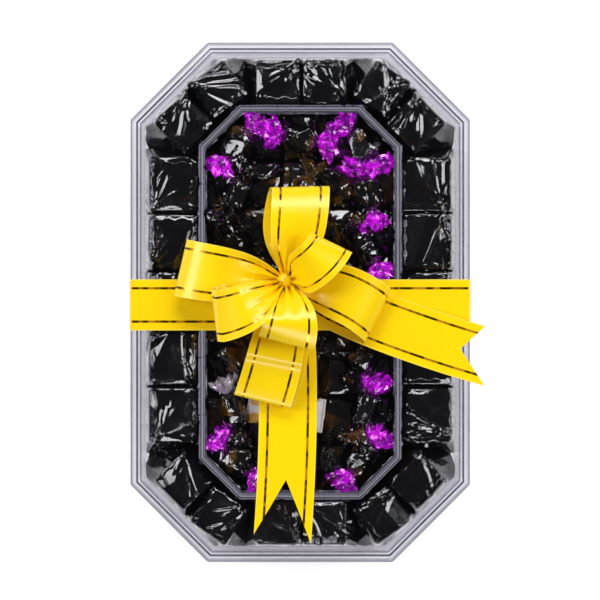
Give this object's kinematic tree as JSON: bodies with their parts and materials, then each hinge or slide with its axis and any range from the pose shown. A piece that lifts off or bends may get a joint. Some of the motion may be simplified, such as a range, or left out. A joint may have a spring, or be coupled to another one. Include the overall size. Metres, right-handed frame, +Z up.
{
  "type": "chocolate box",
  "caption": "Clear eight-sided chocolate box with a lift-off lid, wrapped chocolates round a divider, and a ribbon with a bow.",
  "frame": {"origin": "centre of the flat underside of the base tray", "axes": "+Z up, out of the lid; +Y along the length of the box, away from the long tail of the bow; +X to the right seen from above"},
  "size_m": [0.2103, 0.306, 0.0825],
  "materials": {
    "clear_plastic": "clear moulded plastic, polished",
    "black_film": "glossy black film, folded and creased",
    "twist_wrap": "glossy black film with a brown band and purple foil ends, twisted",
    "cellophane": "clear cellophane, creased",
    "pouch_film": "pearly white film with plain tan leaf shapes",
    "ribbon_satin": "yellow satin with two narrow dark gold stripes"
  },
  "bodies": {
    "base": {"base_tray": "clear_plastic", "block_bottom_1": "black_film", "block_bottom_2": "black_film", "block_corner_bottom_left_a": "black_film", "block_corner_bottom_left_b": "black_film", "block_corner_bottom_right_a": "black_film", "block_corner_bottom_right_b": "black_film", "block_corner_top_left_a": "black_film", "block_corner_top_left_b": "black_film", "block_corner_top_right_a": "black_film", "block_corner_top_right_b": "black_film", "block_left_1": "black_film", "block_left_2": "black_film", "block_left_3": "black_film", "block_left_4": "black_film", "block_left_5": "black_film", "block_right_1": "black_film", "block_right_2": "black_film", "block_right_3": "black_film", "block_right_4": "black_film", "block_right_5": "black_film", "block_top_1": "black_film", "block_top_2": "black_film", "cellophane_sweet": "cellophane", "divider_ring": "clear_plastic", "lower_sweets": "twist_wrap", "pouch": "pouch_film", "sweet_01": "twist_wrap", "sweet_02": "twist_wrap", "sweet_03": "twist_wrap", "sweet_05": "twist_wrap", "sweet_06": "twist_wrap", "sweet_07": "twist_wrap", "sweet_08": "twist_wrap", "sweet_09": "twist_wrap", "sweet_10": "twist_wrap", "sweet_11": "twist_wrap", "sweet_12": "twist_wrap", "sweet_13": "twist_wrap", "sweet_14": "twist_wrap", "sweet_15": "twist_wrap", "sweet_16": "twist_wrap", "sweet_17": "twist_wrap", "sweet_18": "twist_wrap", "sweet_19": "twist_wrap", "sweet_20": "twist_wrap"},
    "lid": {"knot": "ribbon_satin", "lid": "clear_plastic", "loop_bottom": "ribbon_satin", "loop_front": "ribbon_satin", "loop_left": "ribbon_satin", "loop_lower_left": "ribbon_satin", "loop_right": "ribbon_satin", "loop_top": "ribbon_satin", "loop_upper_right": "ribbon_satin", "ribbon_band": "ribbon_satin", "tail_front": "ribbon_satin", "tail_right": "ribbon_satin"}
  },
  "joints": [
    {"name": "lid_lift", "type": "slide", "parent": "base", "child": "lid", "axis": [0, 0, 1], "range_m": [0, 0.06]}
  ]
}
